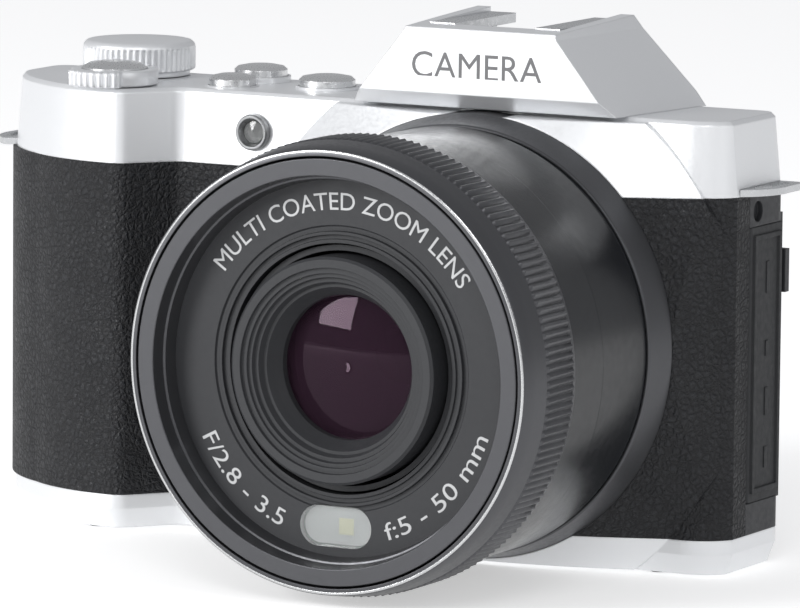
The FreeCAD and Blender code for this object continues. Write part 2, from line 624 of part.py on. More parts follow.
def lens_fixed():
    keep(lens_turned("mount_ring", [
        (d.mount_face + 4.5, d.housing_radius + d.fit), (d.mount_face + 4.5, d.mount_radius),
        (d.mount_face, d.mount_radius), (d.mount_front + 0.3, d.housing_radius + 0.5),
        (d.mount_front, d.housing_radius + 0.3), (d.mount_front, d.housing_radius + d.fit),
    ]), "mount_ring")
    keep(lens_turned("lens_housing", [
        (d.bezel_back, d.housing_bore), (d.bezel_back, d.sleeve_radius),
        (d.ring_back + 0.1, d.sleeve_radius), (d.ring_back + 0.1, d.housing_step_radius),
        (d.housing_seam - 0.15, d.housing_step_radius), (d.housing_seam - 0.15, d.housing_radius - 0.2),
        (d.housing_seam + 0.15, d.housing_radius - 0.2), (d.housing_seam + 0.15, d.housing_step_radius - 0.2),
        (d.mount_front - 1.6, d.housing_step_radius - 0.2), (d.mount_front - 1.0, d.housing_radius),
        (d.housing_back, d.housing_radius), (d.housing_back, d.housing_bore),
    ]), "lens_housing")
    keep(lens_turned("lens_bezel", [
        (d.ring_front + 0.1, d.bezel_bore), (d.ring_front, d.bezel_bore + 0.1),
        (d.ring_front, d.sleeve_radius - 0.1), (d.ring_front + 0.1, d.sleeve_radius),
        (d.bezel_back, d.sleeve_radius), (d.bezel_back, d.housing_bore - 0.05),
        (d.lens_plate_front + 0.7, d.housing_bore - 0.05), (d.lens_plate_front + 0.7, d.plate_radius),
        (d.lens_plate_front, d.plate_radius), (d.lens_plate_front, d.skirt_bore),
        (d.lens_plate_front - 2.2, d.skirt_bore + 0.4), (d.lens_plate_front - 2.3, d.bezel_bore - 0.3),
    ]), "lens_bezel")
    face = lens_turned("lens_plate_disc", [
        (d.lens_plate_front, d.plate_radius - 0.02), (d.lens_plate_front, d.plate_step_radius),
        (d.lens_plate_front + 0.3, d.plate_step_radius - 0.2),
        (d.lens_plate_front + 0.3, d.plate_step_radius - 0.8),
        (d.lens_plate_front - 0.2, d.plate_step_radius - 0.9),
        (d.lens_plate_front - 0.2, d.plate_step_radius - 1.3),
        (d.lens_plate_front + 0.3, d.plate_step_radius - 1.4),
        (d.lens_plate_front + 0.3, d.plate_bore + 0.6), (d.lens_plate_front, d.plate_bore + 0.5),
        (d.lens_plate_front, d.plate_bore), (d.lens_plate_back, d.plate_bore),
        (d.lens_plate_back, d.plate_radius - 0.02),
    ])
    keep(cut("lens_plate", face, [lamp_block("lamp_opening", d.lens_plate_front - 1, 4, 0.03)]),
         "lens_plate")
    keep(lamp_block("lamp_lid", d.lens_plate_front, d.lamp_lid, 0), "led_window")
    board = box("led_board", (d.lamp_x - 6.4, d.lamp_x + 6.4),
                (d.lens_plate_back + 1.7, d.lens_plate_back + 2.5), (d.lamp_z - 3.2, d.lamp_z + 1.4))
    chip = box("led_chip", (d.lamp_x, d.lamp_x + 2.4),
               (d.lens_plate_back + 0.9, d.lens_plate_back + 1.8), (d.lamp_z - 1.2, d.lamp_z + 1.2))
    keep(fuse("led_module", [board, chip]), "led_module")
    keep(lens_turned("guide_cylinder", [
        (d.lens_plate_back, d.guide_bore), (d.lens_plate_back, d.guide_radius),
        (d.housing_back, d.guide_radius), (d.housing_back, d.guide_bore),
    ]), "guide_cylinder")
    rear_disc = lens_turned("rear_disc", [
        (d.housing_back, d.rear_plate_bore), (d.housing_back, d.rear_plate_radius),
        (d.rear_plate_back, d.rear_plate_radius), (d.rear_plate_back, d.rear_plate_bore),
    ])
    bush_room = box("rear_disc_flat", (-d.bush_radius - 1, d.bush_radius + 1),
                    (d.housing_back - 1, d.rear_plate_back + 1), (0, d.bush_height + 0.2))
    return cut("rear_disc_cut", rear_disc, [bush_room])


def lamp_block(name, y, depth, margin):
    """A block with round ends, on the lens plate's lower edge."""
    half, rise = d.lamp_half_width + margin, d.lamp_half_height + margin
    run = half - rise
    body = new_body(name)
    pad(body, name + "_pad", "XZ_Plane", [[
        ("line", run, -rise), ("arc", run, rise, rise + 0.0001, 1), ("line", -run, rise),
        ("arc", -run, -rise, rise + 0.0001, 1),
    ]], depth)
    place(body, d.lamp_x, y + as_size(depth), d.lamp_z)
    return body


def control_ring():
    keep(lens_turned("control_ring", [
        (d.ring_front, d.ring_bore + 0.2), (d.ring_front, d.ring_lip_radius - 0.3),
        (d.ring_front + 0.3, d.ring_lip_radius), (d.ring_band, d.ring_radius),
        (d.ring_knurl_end, d.ring_radius), (d.ring_knurl_end + 0.2, d.ring_radius - 0.5),
        (d.ring_back, d.ring_radius - 0.6), (d.ring_back, d.ring_bore - 0.06),
        (d.bezel_back + 0.3, d.ring_bore - 0.06), (d.bezel_back, d.ring_bore + 0.2),
    ]), "control_ring")


def zoom_barrels():
    keep(lens_turned("zoom_barrel_outer", [
        (d.outer_barrel_front, d.outer_barrel_bore), (d.outer_barrel_front, d.outer_barrel_radius),
        (d.outer_barrel_back, d.outer_barrel_radius), (d.outer_barrel_back, d.outer_barrel_bore),
    ]), "zoom_barrel_outer")
    nose = d.inner_barrel_front
    keep(lens_turned("zoom_barrel_inner", [
        (d.inner_barrel_back, d.inner_barrel_radius), (nose + 0.4, d.inner_barrel_radius),
        (nose, d.inner_barrel_radius - 0.4), (nose, 14.3), (nose + 0.5, 14.2), (nose + 0.5, 13.5),
        (nose + 0.9, 13.4), (nose + 0.9, 12.9), (nose + 1.5, 12.7), (nose + 1.5, 12.2),
        (nose + 2.4, 11.8), (nose + 2.4, 11.4), (nose + 3.5, 10.8), (nose + 4.7, d.funnel_bore),
        (d.glass_rim - 0.05, d.funnel_bore), (d.glass_rim - 0.05, d.glass_radius + 0.02),
        (d.glass_back, d.glass_radius + 0.02), (d.glass_back, d.inner_barrel_bore),
        (d.inner_barrel_back, d.inner_barrel_bore),
    ]), "zoom_barrel_inner")
    dome_rise = d.glass_rim - d.glass_apex
    dome_edge = d.funnel_bore - 0.2
    dome_radius = (dome_rise * dome_rise + dome_edge * dome_edge) / (2 * dome_rise)
    keep(lens_turned("front_lens", [
        (d.glass_back, 0), (d.glass_apex, 0),
        (d.glass_rim, dome_edge, dome_radius, -1), (d.glass_rim, d.glass_radius),
        (d.glass_back, d.glass_radius),
    ]), "front_lens")
    keep(lens_turned("shutter_unit", [
        (d.shutter_front, 4.0), (d.shutter_front, d.inner_barrel_bore - 0.02),
        (d.shutter_back, d.inner_barrel_bore - 0.02), (d.shutter_back, 6.0),
        (d.shutter_front + 1.2, 6.0), (d.shutter_front + 1.2, 4.0),
    ]), "shutter_unit")


def gear_face(teeth, y, width, bore):
    """A spur gear of flat-sided teeth about the Y axis, as a solid at the origin."""
    module = d.gear_module.number
    pitch_radius = module * teeth / 2
    corners = []
    for tooth in range(teeth):
        middle = 2 * math.pi * tooth / teeth
        quarter = math.pi / (2 * teeth)
        for turn, radius in ((-1.38, -1.2), (-0.5, 0.9), (0.5, 0.9), (1.38, -1.2)):
            reach = pitch_radius + module * radius
            angle = middle + turn * quarter
            corners.append(Vector(reach * math.sin(angle), y, reach * math.cos(angle)))
    rim = Part.Face(Part.makePolygon(corners + corners[:1]))
    solid = rim.extrude(Vector(0, width, 0))
    hole = Part.makeCylinder(bore, width + 2, Vector(0, y - 1, 0), Vector(0, 1, 0))
    return solid.cut(hole)


def solid_feature(name, shape, x=0, y=0, z=0):
    item = doc.addObject("Part::Feature", name)
    item.Shape = shape
    place(item, x, y, z)
    return item


def zoom_drive():
    ring = lens_turned("cam_tube", [
        (d.cam_front, d.cam_bore), (d.cam_front, d.cam_radius), (d.cam_back, d.cam_radius),
        (d.cam_back, d.cam_bore),
    ])
    teeth = int(d.cam_teeth.number)
    gear = gear_face(teeth, d.gear_front.number, 2.4, d.cam_radius.number - 0.2)
    keep(fuse("zoom_cam_ring", [ring, solid_feature("cam_gear", gear, z=d.lens_axis)]),
         "zoom_cam_ring")
    reach = d.gear_module * (d.cam_teeth + d.pinion_teeth) / 2 + d.gear_play
    x = reach * cosine(d.motor_angle)
    z = d.lens_axis + reach * sine(d.motor_angle)
    small = gear_face(int(d.pinion_teeth.number), d.gear_front.number, 2.4, 0.55)
    keep(solid_feature("zoom_pinion", small, x=x, z=z), "zoom_pinion")
    can = rod("motor_can", "y", x, d.cam_back + 0.4, z, d.motor_radius, d.motor_back - d.cam_back - 0.4)
    shaft = rod("motor_shaft", "y", x, d.gear_front - 0.6, z, 0.5, d.cam_back - d.gear_front + 1.1)
    keep(fuse("zoom_motor", [can, shaft]), "zoom_motor")


def focus_group():
    disc = lens_turned("focus_disc", [
        (d.focus_front, 0), (d.focus_front, d.focus_glass_radius), (d.focus_front + 1, d.focus_glass_radius),
        (d.focus_front + 1, d.focus_radius), (d.focus_back, d.focus_radius), (d.focus_back, 0),
    ])
    bores = [
        rod(f"rod_bore_{index}", "y", x, d.focus_front - 1, d.lens_axis, d.rod_radius + 0.08, 8)
        for index, x in enumerate((-d.rod_circle, d.rod_circle))
    ]
    keep(cut("focus_lens_group", disc, bores), "focus_lens_group")
    rods = [
        rod(f"focus_rod_{index}", "y", x, d.rods_front, d.lens_axis, d.rod_radius,
            d.housing_back - d.rods_front)
        for index, x in enumerate((-d.rod_circle, d.rod_circle))
    ]
    keep(group("focus_rods", rods), "focus_rods")


# ---------------------------------------------------------------- inside the casing

def electronics(rear_disc):
    keep(rear_disc, "lens_rear_plate")
    keep(box("sensor_package", (-d.sensor_half_x, d.sensor_half_x), (d.rear_plate_back, d.sensor_back),
             (d.lens_axis - d.sensor_half_z, d.lens_axis + d.sensor_half_z)), "image_sensor")
    keep(box("sensor_card", (-15, 15), (d.sensor_back, d.sensor_back + d.board),
             (d.lens_axis - 11, d.lens_axis + 11)), "sensor_board")
    chassis_plate = box("chassis_plate", (d.chassis_left, d.chassis_right),
                        (d.chassis_front, d.chassis_front + d.board), (d.chassis_low, d.chassis_high))
    shelf = box("chassis_shelf", (-16, 16), (d.chassis_front, d.chassis_front + 8.5),
                (d.chassis_low, d.chassis_low + d.board))
    window = box("chassis_window", (-9, 9), (-4, 2), (d.lens_axis + 2, d.lens_axis + 15))
    keep(cut("chassis_frame", fuse("chassis_whole", [chassis_plate, shelf]), [window]), "chassis_frame")
    board_back = d.main_board_front + d.board
    card = box("main_card", (d.chassis_left + 0.5, d.main_board_right), (d.main_board_front, board_back),
               (d.chassis_low + 2, d.chassis_high - 1))
    chips = [
        box(f"chip_{index}", (x, x + size), (board_back, board_back + 1.1), (z, z + size))
        for index, (x, z, size) in enumerate(((-20, 20, 14), (2, 24, 10), (2, 10, 9), (18, 30, 7)))
    ]
    keep(fuse("main_board", [card, *chips]), "main_board")
    keep(box("cell", (d.battery_left, d.battery_left + d.battery_width),
             (d.battery_front, d.battery_front + d.battery_depth),
             (d.battery_low, d.battery_low + d.battery_height)), "battery")
    corner = 4.0
    left, right = d.card_left, d.card_left + d.card_width
    low, high = d.card_low, d.card_low + d.card_height
    card_body = new_body("memory_card_body")
    pad(card_body, "card_pad", "XZ_Plane", [flat([
        (left, low), (right, low), (right, high), (left + corner, high), (left, high - corner)])],
        d.card_depth)
    place(card_body, 0, d.card_front + d.card_depth, 0)
    keep(card_body, "memory_card")
    outline = flat([
        (-72, -3), (-70, -9), (-66.5, -12.8), (-57.5, -13.2), (-54.5, -8.5), (-44, -4.8),
        (-26, -4.8), (-26, 7.4), (-72, 7.4)])
    board = plate_body("top_card", [outline], 1.2, z=d.top_board_low)
    switches = [
        rod(f"top_switch_{index}", "z", x, y, d.top_board_low + 1, 1.6, 0.7)
        for index, (x, y) in enumerate([(d.shutter_x, d.shutter_y)]
                                       + [button[:2] for button in TOP_BUTTONS.values()])
    ]
    keep(fuse("top_board", [board, *switches]), "top_board")
    rear_card = box("rear_card", (-76, -46), (d.rear_board_front, d.rear_board_back), (8, 50))
    domes = [
        rod(f"rear_switch_{index}", "y", x, d.rear_board_back - 0.1, z, 1.5, 0.4)
        for index, (x, z, _) in enumerate(REAR_KEYS.values())
    ]
    keep(fuse("rear_board", [rear_card, *domes]), "rear_board")


def battery_door():
    slab = box("door_slab", (d.door_pivot_x + 0.75, d.door_right), (d.door_front, d.door_back),
               (0, d.door_thickness))
    web = box("door_web", (d.door_pivot_x, d.door_pivot_x + 1.2), (d.door_front, d.door_back),
              (d.door_pivot_z - d.door_knuckle, d.door_thickness))
    knuckle = rod("door_knuckle_rod", "y", d.door_pivot_x, d.door_front, d.door_pivot_z,
                  d.door_knuckle, d.door_back - d.door_front)
    bore = rod("door_bore", "y", d.door_pivot_x, d.door_front - 1, d.door_pivot_z,
               d.door_pin_radius + d.fit, d.door_back - d.door_front + 2)
    middle = (d.door_front + d.door_back) / 2
    slide_way = box("latch_way", (d.latch_x - d.latch_travel - 0.1, d.latch_x + d.latch_length + 0.1),
                    (middle - d.latch_width / 2 - 0.1, middle + d.latch_width / 2 + 0.1), (-1, 0.8))
    slab = cut("battery_door", fuse("door_whole", [slab, web, knuckle]), [bore, slide_way])
    keep(slab, "battery_door")
    keep(rod("door_pin", "y", d.door_pivot_x, d.door_front - 1.5, d.door_pivot_z, d.door_pin_radius,
             d.door_back - d.door_front + 3), "door_pin")
    knob = box("latch_knob", (d.latch_x, d.latch_x + d.latch_length - 1.9),
               (middle - d.latch_width / 2, middle + d.latch_width / 2), (0.05, 0.7))
    keep(knob, "door_latch")


def base_fittings():
    bush = turned("tripod_bush", "z", [
        (0, d.socket_radius), (0, d.bush_radius - 0.02), (d.bush_height, d.bush_radius - 0.02),
        (d.bush_height, 0), (d.socket_depth, 0), (d.socket_depth, d.socket_radius)])
    keep(bush, "tripod_bush")
    screws = []
    for index, (x, y) in enumerate(SCREWS):
        head = rod(f"screw_head_{index}", "z", x, y, 0.05, d.screw_head - 0.03,
                   d.screw_head_height - 0.05)
        shank = rod(f"screw_shank_{index}", "z", x, y, 0.4, d.screw_shank - 0.02, d.screw_length)
        screws.append(fuse(f"screw_{index}", [head, shank]))
    keep(group("bottom_screws", screws), "bottom_screws")
    feet = [
        rod(f"foot_{index}", "z", x, y, -d.foot_height, d.foot_radius, d.foot_height)
        for index, (x, y) in enumerate(FEET)
    ]
    keep(group("base_feet", feet), "base_feet")


# ---------------------------------------------------------------- controls

def top_button(name, x, y, radius, rise):
    seat = d.top_face + rise
    keep(turned(name, "z", [
        (d.top_button_low, 0), (d.top_button_low, radius + d.top_button_flange),
        (d.top_button_low + 0.6, radius + d.top_button_flange), (d.top_button_low + 0.6, radius),
        (seat + 0.9, radius), (seat + 1.35, radius - 0.5), (seat + 1.6, radius * 0.55),
        (seat + 1.65, 0),
    ], x, y), name)


def shutter_release():
    keep(turned("shutter_button", "z", [
        (d.stem_low, 0), (d.stem_low, d.stem_radius), (d.shutter_low, d.stem_radius),
        (d.shutter_low, d.button_rim - 0.2), (d.shutter_low + 0.2, d.button_rim),
        (d.shutter_top - 0.9, d.button_rim), (d.shutter_top - 0.3, d.button_rim - 1.0),
        (d.shutter_top - 0.35, d.button_rim - 1.3), (d.shutter_top, d.button_rim * 0.4),
        (d.shutter_top, 0),
    ], d.shutter_x, d.shutter_y), "shutter_button")
    ring = new_body("lever_body")
    reach = d.lever_reach
    side_x, side_y = reach * sine(d.ear_half_angle), reach * cosine(d.ear_half_angle)
    thickness = d.lever_top - d.lever_low
    pad(ring, "lever_disc", "XY_Plane", [], thickness, [(0, 0, d.lever_radius)])
    pad(ring, "lever_ear", "XY_Plane", [[
        ("line", -side_x, -side_y), ("arc", side_x, -side_y, reach, 1),
        ("line", side_x * 0.6, -side_y * 0.4), ("line", -side_x * 0.6, -side_y * 0.4)]], thickness)
    place(ring, d.shutter_x, d.shutter_y, d.lever_low)
    bore = rod("lever_bore", "z", d.shutter_x, d.shutter_y, d.lever_low - 1, d.button_rim + 0.12, 5)
    keep(cut("zoom_lever", ring, [bore]), "zoom_lever")


def mode_dial():
    keep(turned("mode_dial", "z", [
        (d.shaft_low, 0), (d.shaft_low, d.shaft_radius), (d.top_face + 0.15, d.shaft_radius),
        (d.top_face + 0.15, d.dial_collar), (d.dial_low, d.dial_collar), (d.dial_low, d.dial_radius - 0.2),
        (d.dial_low + 0.2, d.dial_radius), (d.dial_top - 0.6, d.dial_radius),
        (d.dial_top, d.dial_radius - 0.7), (d.dial_top, 0),
    ], d.dial_x, d.dial_y), "mode_dial")


def focus_lamp():
    keep(turned("af_lamp_bezel", "y", [
        (d.af_back, d.af_lens_radius + 0.02), (d.af_back, d.af_radius), (d.af_front + 0.2, d.af_radius),
        (d.af_front, d.af_radius - 0.2), (d.af_front, d.af_lens_radius + 0.5),
        (d.af_front + 1.0, d.af_lens_radius + 0.02),
    ], d.af_x, 0, d.af_z), "af_lamp_bezel")
    keep(turned("af_lamp_lens", "y", [
        (d.af_back, 0), (d.af_front + 0.5, 0), (d.af_front + 0.9, d.af_lens_radius),
        (d.af_back, d.af_lens_radius),
    ], d.af_x, 0, d.af_z), "af_lamp_lens")


def strap_lug(name, side, wall, front, back):
    """A flat loop that curves out from a side wall, with a slot for the strap."""
    def at(reach, y):
        return wall + side * as_size(reach), y

    strip = d.lug_strip
    outer = [
        ("line", *at(-d.lug_root, front + 1)), ("line", *at(0, front)),
        ("arc", *at(d.lug_reach, front + 8.4), 9.0, side), ("line", *at(d.lug_reach, back - 1.2)),
        ("arc", *at(d.lug_reach - 1.2, back), 1.2, side), ("line", *at(-d.lug_root, back)),
    ]
    slot = [
        ("line", *at(0.1, front + strip)), ("arc", *at(d.lug_reach - strip, front + 8.4), 9.0, side),
        ("line", *at(d.lug_reach - strip, back - strip)), ("line", *at(0.1, back - strip)),
    ]
    keep(plate_body(name, [outer, slot], d.lug_thickness, z=d.lug_low), name)


def port_door():
    thickness = d.right - d.port_inner
    height = d.port_high - d.port_low
    plate = box("port_plate", (d.port_inner, d.right), (d.port_pivot_y, d.port_back),
                (d.port_low, d.port_high))
    knuckle = rod("port_knuckle_rod", "z", d.port_pivot_x, d.port_pivot_y, d.port_low,
                  d.port_knuckle, height)
    pins = rod("port_trunnions", "z", d.port_pivot_x, d.port_pivot_y, d.port_low - d.trunnion,
               d.trunnion_radius, height + 2 * d.trunnion)
    y = (d.port_pivot_y + 0.4, d.port_back - 0.7)
    z = (d.port_low + 1.2, d.port_high - 1.2)
    frame = cut("port_frame", box("port_frame_out", (d.right - 0.5, d.right + d.port_rib), y, z), [
        box("port_frame_in", (d.right - 1, d.right + 1), (y[0] + 0.7, y[1] - 0.7),
            (z[0] + 0.7, z[1] - 0.7))])
    keep(fuse("port_cover", [plate, knuckle, pins, frame]), "port_cover")
    sockets = []
    for name, (low, depth, rise) in SOCKETS.items():
        y = (d.socket_y - depth / 2, d.socket_y + depth / 2)
        shell = box(name + "_shell", (d.port_inner - 7.0, d.port_inner - 0.3), y, (low, low + rise))
        mouth = box(name + "_mouth", (d.port_inner - 5.0, d.port_inner + 1),
                    (y[0] + 0.35, y[1] - 0.35), (low + 0.35, low + rise - 0.35))
        sockets.append(cut(name, shell, [mouth]))
    keep(group("port_sockets", sockets), "port_sockets")


def screen():
    x = (d.screen_left, d.screen_right)
    z = (d.screen_low, d.screen_high)
    frame = d.screen_frame
    slab = box("screen_slab", x, (d.screen_front, d.screen_back), z)
    window = box("screen_window", (x[0] + frame, x[1] - frame), (d.screen_back - d.screen_glass, 20),
                 (z[0] + frame, z[1] - frame))
    tab = box("screen_tab", (x[1] - 0.5, x[1] + 1.0), (d.screen_pivot_y, d.tab_back),
              (d.tab_low, d.tab_low + d.tab_height))
    knuckles = []
    ears = []
    starts = (d.knuckle_left, d.knuckle_right)
    for index, start in enumerate(starts):
        barrel = rod(f"screen_knuckle_{index}", "x", start, d.screen_pivot_y, d.screen_pivot_z,
                     d.hinge_radius, d.knuckle_length)
        web = box(f"screen_web_{index}", (start, start + d.knuckle_length),
                  (d.screen_pivot_y - d.hinge_radius, d.screen_pivot_y + 0.9),
                  (d.screen_high - 0.5, d.screen_pivot_z))
        knuckles += [barrel, web]
        parts = [rod(f"ear_pin_{index}", "x", start - 1.6, d.screen_pivot_y, d.screen_pivot_z,
                     d.hinge_pin, d.knuckle_length + 3.2)]
        for side, left in (("left", start - 1.7), ("right", start + d.knuckle_length + 0.2)):
            parts.append(rod(f"ear_{side}_{index}", "x", left, d.screen_pivot_y, d.screen_pivot_z,
                             d.hinge_radius, 1.5))
            parts.append(box(f"ear_foot_{side}_{index}", (left, left + 1.5), (d.rear, d.screen_pivot_y),
                             (d.screen_pivot_z - d.hinge_radius, d.screen_pivot_z + d.hinge_radius)))
        ears.append(fuse(f"hinge_bracket_{index}", parts))
    bores = [
        rod(f"screen_bore_{index}", "x", start - 1, d.screen_pivot_y, d.screen_pivot_z,
            d.hinge_pin + d.fit, d.knuckle_length + 2) for index, start in enumerate(starts)
    ]
    housing = cut("lcd_housing", fuse("screen_whole", [slab, tab, *knuckles]), [window, *bores])
    keep(housing, "lcd_housing")
    keep(group("lcd_hinge", ears), "lcd_hinge")
    keep(box("screen_pane", (x[0] + frame + 0.05, x[1] - frame - 0.05),
             (d.screen_back - d.screen_glass, d.screen_back - 0.05),
             (z[0] + frame + 0.05, z[1] - frame - 0.05)), "lcd_glass")


def rear_key(name, x, z, radius):
    keep(turned(name, "y", [
        (d.key_flange_front, 0), (d.key_back, 0), (d.key_back - 0.1, radius - 0.5),
        (d.key_back - 0.4, radius), (d.key_flange_front + 0.4, radius),
        (d.key_flange_front + 0.4, radius + d.key_flange), (d.key_flange_front, radius + d.key_flange),
    ], x, 0, z), name)


def four_way_pad():
    keep(turned("four_way_pad", "y", [
        (d.key_flange_front, d.pad_bore + 0.7), (d.key_flange_front + 0.9, d.pad_bore + 0.7),
        (d.key_flange_front + 0.9, d.pad_bore),
        (d.key_back - 0.5, d.pad_bore), (d.key_back - 0.2, d.pad_bore + 0.4),
        (d.key_back - 0.1, d.pad_radius - 0.8), (d.key_back - 0.5, d.pad_radius),
        (d.key_flange_front + 0.4, d.pad_radius), (d.key_flange_front + 0.4, d.pad_radius + d.key_flange),
        (d.key_flange_front, d.pad_radius + d.key_flange),
    ], d.pad_x, 0, d.pad_z), "four_way_pad")


TOP_BUTTONS = {
    "power_button": (-45.6, -3.6, 3.4, 0.2),
    "record_button": (-45.4, 4.5, 3.9, 0.9),
    "function_button": (-32.2, 0.6, 4.1, 0.45),
}
REAR_KEYS = {
    "ok_button": (d.pad_x, d.pad_z, d.ok_radius - d.key_flange),
    "menu_button": (d.pad_x + 9.0, d.pad_z + 16.5, 2.6),
    "play_button": (d.pad_x - 2.5, d.pad_z + 14.5, 2.6),
    "delete_button": (d.pad_x - 4.5, d.pad_z - 15.0, 2.6),
}
SOCKETS = {"usb_socket": (15.0, 3.2, 9.0), "hdmi_socket": (30.0, 3.4, 7.6)}
SCREWS = [(32.0, -4.5), (32.0, 6.4), (-34.5, 6.4), (16.0, 6.4)]
FEET = [(26.0, -6.6), (26.0, 6.6), (-70.0, 8.6), (-62.0, -13.8)]

upper_casing()
lower_casing()
front_casing()
rear_casing()
hump()
accessory_shoe()
electronics(lens_fixed())
control_ring()
zoom_barrels()
zoom_drive()
focus_group()
battery_door()
base_fittings()
for button, (x, y, radius, rise) in TOP_BUTTONS.items():
    top_button(button, x, y, radius, rise)
shutter_release()
mode_dial()
focus_lamp()
strap_lug("strap_lug_right", 1, d.right, d.lug_front, d.lug_back)
strap_lug("strap_lug_left", -1, d.left, d.lug_front, d.lug_back)
port_door()
screen()
for key, (x, z, radius) in REAR_KEYS.items():
    rear_key(key, x, z, radius)
four_way_pad()

doc.recompute()

faults = [item.Label for item in doc.Objects if {"Invalid", "Error"} & set(item.State)]
if faults:
    raise SystemExit("failed objects: " + ", ".join(faults))
for node in nodes:
    if node.Shape.isNull() or not node.Shape.isValid() or not node.Shape.Solids:
        raise SystemExit("bad shape: " + node.Label)

os.makedirs("parts", exist_ok=True)
for node in nodes:
    node.Shape.exportStep(f"parts/{node.Label}.step")
print(len(nodes), "nodes written")
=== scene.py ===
"""Compact digital camera: finishes, fine detail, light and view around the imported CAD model."""
import json
import math

import bmesh
import bpy
from mathutils import Matrix, Vector


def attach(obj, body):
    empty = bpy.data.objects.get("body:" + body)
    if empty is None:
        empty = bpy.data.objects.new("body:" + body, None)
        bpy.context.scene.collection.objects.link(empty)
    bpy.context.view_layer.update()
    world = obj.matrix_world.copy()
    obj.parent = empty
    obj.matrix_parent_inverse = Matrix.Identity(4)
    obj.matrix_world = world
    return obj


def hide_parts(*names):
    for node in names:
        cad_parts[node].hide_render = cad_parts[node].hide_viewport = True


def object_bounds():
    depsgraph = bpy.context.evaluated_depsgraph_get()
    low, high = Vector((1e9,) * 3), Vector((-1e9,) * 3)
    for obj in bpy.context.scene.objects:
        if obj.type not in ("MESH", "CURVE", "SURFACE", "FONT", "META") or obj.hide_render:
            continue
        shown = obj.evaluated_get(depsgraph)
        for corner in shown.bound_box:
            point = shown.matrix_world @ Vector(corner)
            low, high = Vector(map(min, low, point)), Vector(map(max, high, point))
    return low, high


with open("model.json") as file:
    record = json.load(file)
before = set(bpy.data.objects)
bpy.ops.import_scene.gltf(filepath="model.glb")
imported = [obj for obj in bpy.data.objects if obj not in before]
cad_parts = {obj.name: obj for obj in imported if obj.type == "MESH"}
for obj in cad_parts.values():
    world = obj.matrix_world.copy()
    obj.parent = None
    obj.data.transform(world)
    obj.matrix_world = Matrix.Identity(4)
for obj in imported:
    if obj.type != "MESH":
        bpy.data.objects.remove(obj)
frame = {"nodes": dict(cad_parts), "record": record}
cad_low, cad_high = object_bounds()
nodes = frame["nodes"]
MM = 0.001

# Places in millimetres in the frame: the lens axis runs along Y at this height
LENS_AXIS = 32.16
PLATE_FACE = -53.4
DIAL = (-65.2, 3.1)
SHUTTER = (-61.0, -11.2)
LAMP = (-0.55, 10.2)
PAD = (-61.5, 25.5)


# ---------------------------------------------------------------- finishes

class Finish:
    """A material with a Principled surface, and short ways to add the nodes that feed it."""

    def __init__(self, name, **sockets):
        self.material = bpy.data.materials.new(name)
        self.material.use_nodes = True
        self.tree = self.material.node_tree
        self.surface = self.tree.nodes["Principled BSDF"]
        for socket, value in sockets.items():
            self.surface.inputs[socket.replace("_", " ")].default_value = value
        self.place = self.add("ShaderNodeTexCoord").outputs["Object"]

    def add(self, kind, **settings):
        node = self.tree.nodes.new(kind)
        for key, value in settings.items():
            setattr(node, key, value)
        return node

    def feed(self, node, **sockets):
        for socket, value in sockets.items():
            entry = node.inputs[socket.replace("_", " ")]
            if isinstance(value, bpy.types.NodeSocket):
                self.tree.links.new(value, entry)
            else:
                entry.default_value = value
        return node

    def noise(self, scale, detail=3.0, roughness=0.5, where=None):
        node = self.add("ShaderNodeTexNoise")
        self.feed(node, Vector=where or self.place, Scale=scale, Detail=detail, Roughness=roughness)
        return node.outputs["Fac"]

    def spread(self, value, low, high, start=0.3, end=0.7):
        node = self.add("ShaderNodeMapRange")
        self.feed(node, Value=value, From_Min=start, From_Max=end, To_Min=low, To_Max=high)
        return node.outputs["Result"]

    def tones(self, value, dark, light):
        node = self.add("ShaderNodeMix", data_type="RGBA")
        colours = [entry for entry in node.inputs if entry.type == "RGBA"]
        colours[0].default_value = (*dark, 1.0)
        colours[1].default_value = (*light, 1.0)
        self.tree.links.new(value, node.inputs["Factor"])
        return [out for out in node.outputs if out.type == "RGBA"][0]

    def relief(self, height, depth, strength=1.0, edge=0.0):
        bump = self.add("ShaderNodeBump")
        self.feed(bump, Height=height, Distance=depth, Strength=strength)
        if edge:
            bevel = self.add("ShaderNodeBevel", samples=4)
            bevel.inputs["Radius"].default_value = edge
            self.tree.links.new(bevel.outputs["Normal"], bump.inputs["Normal"])
        return bump.outputs["Normal"]


def scaled(colour, factor):
    """The colour made darker or lighter, never past white."""
    return tuple(min(1.0, part * factor) for part in colour)


def painted(name, colour, roughness, grain, depth, uneven=0.04, edge=0.0, **sockets):
    """A moulded, painted or machined surface: fine grain, soft patches in tone and gloss."""
    finish = Finish(name, **sockets)
    fine = finish.noise(grain, 4.0, 0.6)
    patches = finish.noise(45.0, 3.0, 0.55)
    finish.feed(
        finish.surface,
        Base_Color=finish.tones(patches, scaled(colour, 1 - uneven), scaled(colour, 1 + uneven)),
        Roughness=finish.spread(finish.noise(grain * 0.23, 3.0), roughness * 0.86, roughness * 1.14),
        Normal=finish.relief(fine, depth, edge=edge),
    )
    return finish.material


